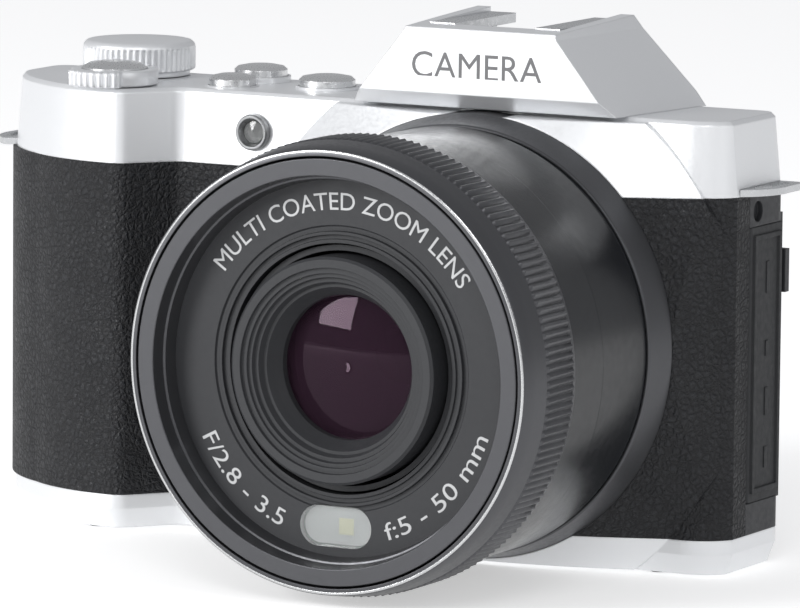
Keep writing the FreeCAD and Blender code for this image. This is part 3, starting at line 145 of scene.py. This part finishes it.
def leather_finish():
    """Black covering with small uneven pebbles, dull in the creases; its colour carries painted shade in
    the creases and a painted highlight on the pebble tops.
    """
    finish = Finish("leather", Specular_IOR_Level=0.38)
    warp = finish.add("ShaderNodeTexNoise")
    finish.feed(warp, Vector=finish.place, Scale=500.0, Detail=2.0)
    shift = finish.add("ShaderNodeVectorMath", operation="SCALE")
    finish.tree.links.new(warp.outputs["Color"], shift.inputs["Vector"])
    shift.inputs["Scale"].default_value = 0.0005
    moved = finish.add("ShaderNodeVectorMath", operation="ADD")
    finish.tree.links.new(finish.place, moved.inputs[0])
    finish.tree.links.new(shift.outputs["Vector"], moved.inputs[1])
    heights = []
    for scale, weight in ((1050.0, 0.7), (2300.0, 0.3)):
        cells = finish.add("ShaderNodeTexVoronoi", feature="DISTANCE_TO_EDGE")
        finish.feed(cells, Vector=moved.outputs["Vector"], Scale=scale)
        heights.append(finish.spread(cells.outputs["Distance"], 0.0, weight, 0.0, 0.3))
    total = finish.add("ShaderNodeMath", operation="ADD")
    finish.tree.links.new(heights[0], total.inputs[0])
    finish.tree.links.new(heights[1], total.inputs[1])
    pebbles = total.outputs["Value"]
    patches = finish.noise(260.0, 3.0)
    rough = finish.add("ShaderNodeMath", operation="MULTIPLY_ADD")
    finish.tree.links.new(pebbles, rough.inputs[0])
    rough.inputs[1].default_value = -0.16
    finish.tree.links.new(finish.spread(patches, 0.54, 0.66), rough.inputs[2])
    # The base colour follows the pebble height: painted shade darkens the creases and a painted
    # highlight lightens the pebble tops.
    finish.feed(
        finish.surface,
        Base_Color=finish.tones(pebbles, (0.003, 0.003, 0.004), (0.012, 0.013, 0.016)),
        Roughness=rough.outputs["Value"],
        Normal=finish.relief(pebbles, 0.00020, 1.0),
    )
    return finish.material


def glass_finish(name, colour, roughness, transmission, **sockets):
    """Clear or tinted glass with faint patches in its tint and gloss."""
    finish = Finish(name, Transmission_Weight=transmission, **sockets)
    patches = finish.noise(120.0, 2.0)
    finish.feed(
        finish.surface,
        Base_Color=finish.tones(patches, scaled(colour, 0.97), scaled(colour, 1.03)),
        Roughness=finish.spread(finish.noise(900.0), roughness * 0.8, roughness * 1.25),
    )
    return finish.material


def brushed(name, colour, roughness):
    """Bare metal with fine marks in its gloss and relief."""
    finish = Finish(name, Metallic=1.0)
    marks = finish.noise(2600.0, 2.0)
    finish.feed(
        finish.surface,
        Base_Color=finish.tones(finish.noise(80.0), scaled(colour, 0.93), scaled(colour, 1.05)),
        Roughness=finish.spread(marks, roughness * 0.8, roughness * 1.3),
        Normal=finish.relief(marks, 0.000006, edge=0.00012),
    )
    return finish.material


FINISHES = {
    "silver": painted("silver", (0.80, 0.81, 0.825), 0.38, 9000.0, 0.000004, 0.015, 0.00035,
                      Metallic=0.6, Coat_Weight=0.15, Coat_Roughness=0.25),
    "leather": leather_finish(),
    "black_shell": painted("black_shell", (0.024, 0.025, 0.028), 0.5, 5200.0, 0.00003, 0.06, 0.0003,
                           Specular_IOR_Level=0.35),
    "black_gloss": painted("black_gloss", (0.010, 0.011, 0.013), 0.24, 3000.0, 0.000003, 0.05, 0.0002,
                           Specular_IOR_Level=0.28, Coat_Weight=0.12, Coat_Roughness=0.16),
    "lens_black": painted("lens_black", (0.085, 0.086, 0.092), 0.36, 7000.0, 0.000006, 0.05, 0.00015,
                          Metallic=0.75),
    "lens_matte": painted("lens_matte", (0.030, 0.031, 0.034), 0.5, 6000.0, 0.00001, 0.05, 0.00012,
                          Specular_IOR_Level=0.35),
    "polished": brushed("polished", (0.74, 0.745, 0.75), 0.30),
    "steel": brushed("steel", (0.60, 0.61, 0.62), 0.30),
    "brass": brushed("brass", (0.70, 0.56, 0.31), 0.28),
    "glass": glass_finish("glass", (0.10, 0.050, 0.085), 0.02, 0.85, Specular_IOR_Level=0.22,
                          Specular_Tint=(0.95, 0.70, 0.88, 1.0), IOR=1.25),
    "clear": glass_finish("clear", (0.84, 0.86, 0.86), 0.10, 0.85),
    "screen": painted("screen", (0.012, 0.013, 0.017), 0.09, 2500.0, 0.000002, 0.04, Coat_Weight=0.5),
    "board": painted("board", (0.03, 0.16, 0.08), 0.42, 2500.0, 0.00002, 0.2),
    "cell": painted("cell", (0.11, 0.11, 0.13), 0.4, 1800.0, 0.00001, 0.1),
    "card": painted("card", (0.09, 0.11, 0.19), 0.45, 2400.0, 0.00001, 0.1),
    "rubber": painted("rubber", (0.026, 0.027, 0.029), 0.60, 4200.0, 0.00003, 0.08, 0.0003,
                      Specular_IOR_Level=0.3),
    "frame_metal": brushed("frame_metal", (0.52, 0.53, 0.54), 0.38),
    "sensor": painted("sensor", (0.10, 0.15, 0.15), 0.12, 2500.0, 0.000002, 0.1),
}
EXTRA = {
    "white_print": painted("white_print", (0.50, 0.505, 0.51), 0.5, 3000.0, 0.00001, 0.05),
    "grey_print": painted("grey_print", (0.16, 0.16, 0.165), 0.42, 3000.0, 0.00001, 0.05),
    "reflector": painted("reflector", (0.62, 0.63, 0.62), 0.35, 2200.0, 0.00002, 0.06),
    "phosphor": painted("phosphor", (0.86, 0.83, 0.50), 0.45, 2600.0, 0.00002, 0.08),
    "grey_metal": brushed("grey_metal", (0.30, 0.305, 0.31), 0.32),
    "bright_edge": brushed("bright_edge", (0.58, 0.585, 0.59), 0.26),
}

for row in frame["record"]["subparts"]:
    mesh = nodes[row["node"]].data
    mesh.materials.clear()
    mesh.materials.append(FINISHES[row["material_slot"]])
# The focus lamp's bezel is bare grey metal, unlike the lens parts that share its slot
nodes["af_lamp_bezel"].data.materials[0] = EXTRA["grey_metal"]


# ---------------------------------------------------------------- mesh building

def piece(name, mesh, body, finish, sharp=32.0):
    """Turn a bmesh in millimetres into a shaded piece that rides on a body."""
    bmesh.ops.recalc_face_normals(mesh, faces=mesh.faces)
    bmesh.ops.scale(mesh, vec=(MM, MM, MM), verts=mesh.verts)
    data = bpy.data.meshes.new(name)
    mesh.to_mesh(data)
    mesh.free()
    data.shade_smooth()
    data.set_sharp_from_angle(angle=math.radians(sharp))
    data.materials.append(finish)
    item = bpy.data.objects.new(name, data)
    bpy.context.scene.collection.objects.link(item)
    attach(item, body)
    return item


def lathe(profile, axis, centre, segments, reach_at=None, closed=True):
    """Turn (along, radius) points about an axis; reach_at may vary the radius round the turn."""
    mesh = bmesh.new()
    rings = []
    for index, (along, radius) in enumerate(profile):
        ring = []
        for step in range(segments):
            angle = 2 * math.pi * step / segments
            reach = reach_at(index, radius, angle) if reach_at else radius
            across, up = reach * math.cos(angle), reach * math.sin(angle)
            point = (across, along, up) if axis == "y" else (across, up, along)
            ring.append(mesh.verts.new(Vector(point) + Vector(centre)))
        rings.append(ring)
    pairs = list(zip(rings, rings[1:]))
    if closed:
        pairs.append((rings[-1], rings[0]))
    else:
        mesh.faces.new(rings[0])
        mesh.faces.new(rings[-1])
    for first, second in pairs:
        for step in range(segments):
            following = (step + 1) % segments
            mesh.faces.new((first[step], first[following], second[following], second[step]))
    return mesh


def prism(outline, low, high, plane, bevel=0.0):
    """A block with the given outline, between two levels along the plane's normal."""
    mesh = bmesh.new()
    faces = []
    for level in (low, high):
        if plane == "xz":
            corners = [mesh.verts.new((x, level, z)) for x, z in outline]
        else:
            corners = [mesh.verts.new((x, y, level)) for x, y in outline]
        faces.append(mesh.faces.new(corners))
    count = len(outline)
    mesh.verts.ensure_lookup_table()
    for step in range(count):
        following = (step + 1) % count
        mesh.faces.new((mesh.verts[step], mesh.verts[following], mesh.verts[count + following],
                        mesh.verts[count + step]))
    if bevel:
        rims = [edge for face in faces for edge in face.edges]
        bmesh.ops.bevel(mesh, geom=rims, offset=bevel, segments=2, affect="EDGES", profile=0.5)
    return mesh


def merge(target, extra):
    """Add one bmesh to another and free it."""
    data = bpy.data.meshes.new("merge")
    extra.to_mesh(data)
    extra.free()
    target.from_mesh(data)
    bpy.data.meshes.remove(data)
    return target


# ---------------------------------------------------------------- the lens ring and its lettering

RIBS = 174
RIB_DEPTH = 0.42
SEGMENTS_PER_RIB = 6
ring_profile = [
    (-58.0, 29.82), (-58.0, 30.45), (-57.9, 30.65), (-57.7, 30.8), (-55.2, 31.25), (-52.9, 31.6),
    (-52.6, 31.35), (-52.5, 31.36), (-52.2, 31.8), (-49.0, 31.8), (-45.0, 31.8), (-44.7, 31.36),
    (-44.6, 31.3), (-44.3, 31.3), (-43.7, 31.25), (-43.5, 31.05), (-43.5, 29.56), (-56.5, 29.56),
    (-56.8, 29.82),
]
# The points of the profile that carry ribs
KNURLED = (8, 9, 10)


def knurl(index, radius, angle):
    """Radius of the control ring's skin at a point of its profile and an angle round it."""
    if index not in KNURLED:
        return radius
    wave = 0.5 + 0.5 * math.cos(RIBS * angle)
    return radius - RIB_DEPTH * (1 - wave ** 0.7)


ring = piece("ring_knurled", lathe(ring_profile, "y", (0, 0, LENS_AXIS), RIBS * SEGMENTS_PER_RIB, knurl),
             "control_ring", FINISHES["lens_black"], 40.0)
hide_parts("control_ring")
rim_profile = [
    (-58.0, 30.32), (-58.02, 30.42), (-57.99, 30.54), (-57.88, 30.68), (-57.84, 30.6), (-57.9, 30.3),
]
piece("ring_bright_rim", lathe(rim_profile, "y", (0, 0, LENS_AXIS), 240), "control_ring",
      EXTRA["bright_edge"])


def letters(text, height):
    """Flat lettering as a bmesh in millimetres, its baseline along X and centred on X."""
    curve = bpy.data.curves.new("letters", "FONT")
    curve.body = text
    curve.align_x = "CENTER"
    curve.resolution_u = 4
    curve.extrude = 0.012
    item = bpy.data.objects.new("letters", curve)
    bpy.context.scene.collection.objects.link(item)
    bpy.context.view_layer.update()
    data = bpy.data.meshes.new_from_object(item)
    bpy.data.objects.remove(item)
    mesh = bmesh.new()
    mesh.from_mesh(data)
    bpy.data.meshes.remove(data)
    tall = max(vert.co.y for vert in mesh.verts)
    bmesh.ops.scale(mesh, vec=(height / tall, height / tall, 1.0), verts=mesh.verts)
    return mesh


WORD_RADIUS, WORD_HEIGHT = 23.2, 2.4
PRINT_LIFT = 0.02


def arc_lettering(name, text, start, end, outward):
    """Lettering on the lens plate from one angle to another, tops outward or inward."""
    mesh = letters(text, WORD_HEIGHT)
    across = [vert.co.x for vert in mesh.verts]
    low, width = min(across), max(across) - min(across)
    for vert in mesh.verts:
        share = (vert.co.x - low) / width
        angle = math.radians(start + (end - start) * share)
        reach = WORD_RADIUS + (vert.co.y - WORD_HEIGHT / 2) * (1 if outward else -1)
        depth = PLATE_FACE - PRINT_LIFT - vert.co.z
        vert.co = Vector((reach * math.cos(angle), depth, LENS_AXIS + reach * math.sin(angle)))
    piece(name, mesh, "camera", EXTRA["white_print"])


arc_lettering("plate_words_top", "MULTI COATED ZOOM LENS", 146, 34, True)
arc_lettering("plate_words_left", "F/2.8 - 3.5", 207, 248, False)
arc_lettering("plate_words_right", "f:5 - 50 mm", 288, 341, False)

HUMP_FACE = -13.66
HUMP_WORD_X, HUMP_WORD_Z, HUMP_WORD_HEIGHT = -0.4, 68.5, 3.7
hump_word = letters("CAMERA", HUMP_WORD_HEIGHT)
for vertex in hump_word.verts:
    vertex.co = Vector((vertex.co.x + HUMP_WORD_X, HUMP_FACE - vertex.co.z, HUMP_WORD_Z + vertex.co.y))
piece("hump_word", hump_word, "camera", EXTRA["grey_print"])


# ---------------------------------------------------------------- the light window

def stadium(half_width, half_height, steps=16):
    """A slot outline with round ends, centred on the light window."""
    points = []
    run = half_width - half_height
    for side, first in ((1, -90), (-1, 90)):
        for step in range(steps + 1):
            angle = math.radians(first + 180 * step / steps)
            points.append((LAMP[0] + side * run + half_height * math.cos(angle),
                           LAMP[1] + half_height * math.sin(angle)))
    return points


TRAY_DEPTHS = (PLATE_FACE + 1.35, PLATE_FACE + 1.9)
CHIP_DEPTHS = (PLATE_FACE + 1.22, PLATE_FACE + 1.5)
CHIP_LEFT, CHIP_RIGHT = LAMP[0] + 0.1, LAMP[0] + 2.4
CHIP_LOW, CHIP_HIGH = LAMP[1] - 1.15, LAMP[1] + 1.15
tray = prism(stadium(5.3, 2.55), *TRAY_DEPTHS, "xz")
piece("lamp_reflector", tray, "camera", EXTRA["reflector"])
chip = prism([(CHIP_LEFT, CHIP_LOW), (CHIP_RIGHT, CHIP_LOW), (CHIP_RIGHT, CHIP_HIGH),
              (CHIP_LEFT, CHIP_HIGH)], *CHIP_DEPTHS, "xz", 0.1)
piece("lamp_chip", chip, "camera", EXTRA["phosphor"])


# ---------------------------------------------------------------- dial and zoom lever

DIAL_RIBS = 56
dial_profile = [
    (64.35, 1.9), (64.35, 7.5), (65.1, 7.5), (65.1, 8.0), (65.25, 8.22), (65.4, 8.3), (66.8, 8.3),
    (68.3, 8.3), (68.55, 8.24), (68.8, 8.2), (69.15, 7.9), (69.33, 7.65), (69.4, 7.35), (69.4, 1.0),
]
DIAL_KNURLED = (5, 6, 7)
DIAL_RIB_DEPTH = 0.34


def dial_rib(index, radius, angle):
    """Radius of the mode dial's skin at a point of its profile and an angle round it."""
    if index not in DIAL_KNURLED:
        return radius
    return radius - DIAL_RIB_DEPTH * (1 - (0.5 + 0.5 * math.cos(DIAL_RIBS * angle)) ** 0.8)


dial = piece("dial_ribbed", lathe(dial_profile, "z", (*DIAL, 0), DIAL_RIBS * 8, dial_rib, False),
             "mode_dial", FINISHES["silver"], 38.0)
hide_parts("mode_dial")

# The lever is a ring with a ribbed ear on one side; angles in degrees
EAR_HALF = 34.0
EAR_BLEND = 7.0
EAR_RIBS = 8
EAR_LOW, EAR_RIB_DEPTH = 7.05, 0.5
EAR_EDGE = 7.35
LEVER_RADIUS, LEVER_BORE = 6.35, 4.87


def lever_reach(turn):
    """Outer radius of the lever at a turn in degrees away from the middle of its ear."""
    away = abs(turn)
    if away > EAR_HALF + EAR_BLEND:
        return LEVER_RADIUS
    if away > EAR_HALF:
        share = (away - EAR_HALF) / EAR_BLEND
        return EAR_EDGE - (EAR_EDGE - LEVER_RADIUS) * (0.5 - 0.5 * math.cos(math.pi * share))
    wave = 0.5 + 0.5 * math.cos(2 * math.pi * EAR_RIBS * (turn + EAR_HALF) / (2 * EAR_HALF))
    return EAR_LOW + EAR_RIB_DEPTH * (1 - wave ** 1.5)


def lever_skin(index, radius, angle):
    """Radius of the lever's skin; its first and last points are the bore."""
    turn = (math.degrees(angle) + 90 + 180) % 360 - 180
    if index in (0, 7):
        return LEVER_BORE
    return lever_reach(turn) + radius


lever_profile = [
    (64.35, 0), (64.35, -0.25), (64.5, 0.0), (65.4, 0.0), (66.3, 0.0), (66.5, -0.08), (66.6, -0.25),
    (66.6, 0),
]
lever = piece("lever_ribbed", lathe(lever_profile, "z", (*SHUTTER, 0), 720, lever_skin), "zoom_lever",
              FINISHES["silver"], 42.0)
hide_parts("zoom_lever")


# ---------------------------------------------------------------- small marks

def bar(x, z, width, height, low, high):
    """A flat upright mark facing the back, centred on x and z."""
    return prism([(x - width / 2, z - height / 2), (x + width / 2, z - height / 2),
                  (x + width / 2, z + height / 2), (x - width / 2, z + height / 2)], low, high, "xz")


def triangle(x, z, size, turn, low, high):
    """A flat three-cornered mark facing the back, one corner at the turn in degrees."""
    points = []
    for step in range(3):
        angle = math.radians(turn + 120 * step)
        points.append((x + size * math.cos(angle), z + size * math.sin(angle)))
    return prism(points, low, high, "xz")


KEY_FACE = (10.88, 10.93)
PAD_FACE = (10.76, 10.84)
PAD_MARK_CIRCLE = 6.3
menu_x, menu_z = PAD[0] + 9.0, PAD[1] + 16.5
menu_mark = bmesh.new()
for level in (-0.8, 0.0, 0.8):
    merge(menu_mark, bar(menu_x, menu_z + level, 2.2, 0.35, *KEY_FACE))
piece("menu_mark", menu_mark, "menu_button", EXTRA["white_print"])
piece("play_mark", triangle(PAD[0] - 2.5, PAD[1] + 14.5, 1.2, 180, *KEY_FACE), "play_button",
      EXTRA["white_print"])
bin_mark = bar(PAD[0] - 4.5, PAD[1] - 15.25, 1.3, 1.5, *KEY_FACE)
merge(bin_mark, bar(PAD[0] - 4.5, PAD[1] - 14.1, 2.0, 0.35, *KEY_FACE))
piece("delete_mark", bin_mark, "delete_button", EXTRA["white_print"])
pad_marks = bmesh.new()
for turn in (0, 90, 180, 270):
    angle = math.radians(turn)
    mark_x = PAD[0] + PAD_MARK_CIRCLE * math.cos(angle)
    mark_z = PAD[1] + PAD_MARK_CIRCLE * math.sin(angle)
    merge(pad_marks, triangle(mark_x, mark_z, 0.8, turn, *PAD_FACE))
piece("pad_marks", pad_marks, "four_way_pad", EXTRA["white_print"])

PORT_MARK_X, PORT_MARK_Y = 37.36, 3.9
PORT_MARK_RISE, PORT_MARK_WIDTH = 0.16, 0.9
port_marks = bmesh.new()
for low, high in ((39.0, 43.5), (30.0, 32.2), (21.5, 25.5), (14.0, 17.0)):
    block = bmesh.new()
    bmesh.ops.create_cube(block, size=1.0)
    bmesh.ops.scale(block, vec=(PORT_MARK_RISE, PORT_MARK_WIDTH, high - low), verts=block.verts)
    middle = (PORT_MARK_X, PORT_MARK_Y, (low + high) / 2)
    bmesh.ops.translate(block, vec=middle, verts=block.verts)
    merge(port_marks, block)
piece("port_marks", port_marks, "port_cover", FINISHES["rubber"])


# ---------------------------------------------------------------- floor, light and view

FLOOR_HALF = 4.0


def floor():
    """A plain pale floor at the camera's lowest point."""
    mesh = bmesh.new()
    bmesh.ops.create_grid(mesh, x_segments=2, y_segments=2, size=FLOOR_HALF)
    data = bpy.data.meshes.new("floor")
    mesh.to_mesh(data)
    mesh.free()
    item = bpy.data.objects.new("floor", data)
    item.location.z = cad_low.z
    bpy.context.scene.collection.objects.link(item)
    pale = painted("pale_floor", (0.80, 0.80, 0.80), 0.8, 30.0, 0.0, 0.002, Specular_IOR_Level=0.1,
                   Emission_Strength=0.48, Emission_Color=(1.0, 1.0, 1.0, 1.0))
    data.materials.append(pale)


def softbox(name, place, aim, size, power):
    """A rectangular lamp, its size in metres and its power in watts."""
    light = bpy.data.lights.new(name, "AREA")
    light.shape = "RECTANGLE"
    light.size, light.size_y = size
    light.energy = power
    item = bpy.data.objects.new(name, light)
    item.location = place
    item.rotation_euler = (Vector(aim) - Vector(place)).to_track_quat("-Z", "Y").to_euler()
    bpy.context.scene.collection.objects.link(item)


floor()
LIT_SPOT = (-0.02, -0.02, 0.035)
softbox("key_left", (-0.80, -1.15, 0.55), LIT_SPOT, (0.45, 0.7), 15.0)
softbox("front_right", (0.50, -1.15, 0.95), LIT_SPOT, (0.5, 0.5), 5.0)
softbox("right_strip", (0.95, -0.35, 0.5), LIT_SPOT, (0.2, 0.5), 1.0)

world = bpy.data.worlds.new("studio")
bpy.context.scene.world = world
world.use_nodes = True
background = world.node_tree.nodes["Background"]
background.inputs["Color"].default_value = (0.96, 0.97, 1.0, 1.0)
background.inputs["Strength"].default_value = 0.44

VIEW_AZIMUTH, VIEW_ELEVATION, VIEW_ROLL = 28.297, 7.671, 0.54
VIEW_DISTANCE = 1.05
FOCAL_LENGTH, SENSOR_WIDTH = 337.5, 36.0
VIEW_TARGET = Vector((-0.0033, -0.0302, 0.0383))


def make_camera():
    """A camera that looks at the target from the given angles, in degrees."""
    azimuth, elevation = math.radians(VIEW_AZIMUTH), math.radians(VIEW_ELEVATION)
    back = Vector((math.sin(azimuth) * math.cos(elevation), -math.cos(azimuth) * math.cos(elevation),
                   math.sin(elevation)))
    level = Vector((math.cos(azimuth), math.sin(azimuth), 0.0))
    upright = back.cross(level)
    roll = math.radians(VIEW_ROLL)
    right = level * math.cos(roll) + upright * math.sin(roll)
    up = back.cross(right)
    data = bpy.data.cameras.new("camera")
    data.sensor_width = SENSOR_WIDTH
    data.lens = FOCAL_LENGTH
    item = bpy.data.objects.new("camera", data)
    item.matrix_world = Matrix.Translation(VIEW_TARGET + back * VIEW_DISTANCE) @ Matrix(
        (right, up, back)).transposed().to_4x4()
    bpy.context.scene.collection.objects.link(item)
    bpy.context.scene.camera = item


make_camera()
bpy.context.scene.view_settings.view_transform = "Standard"
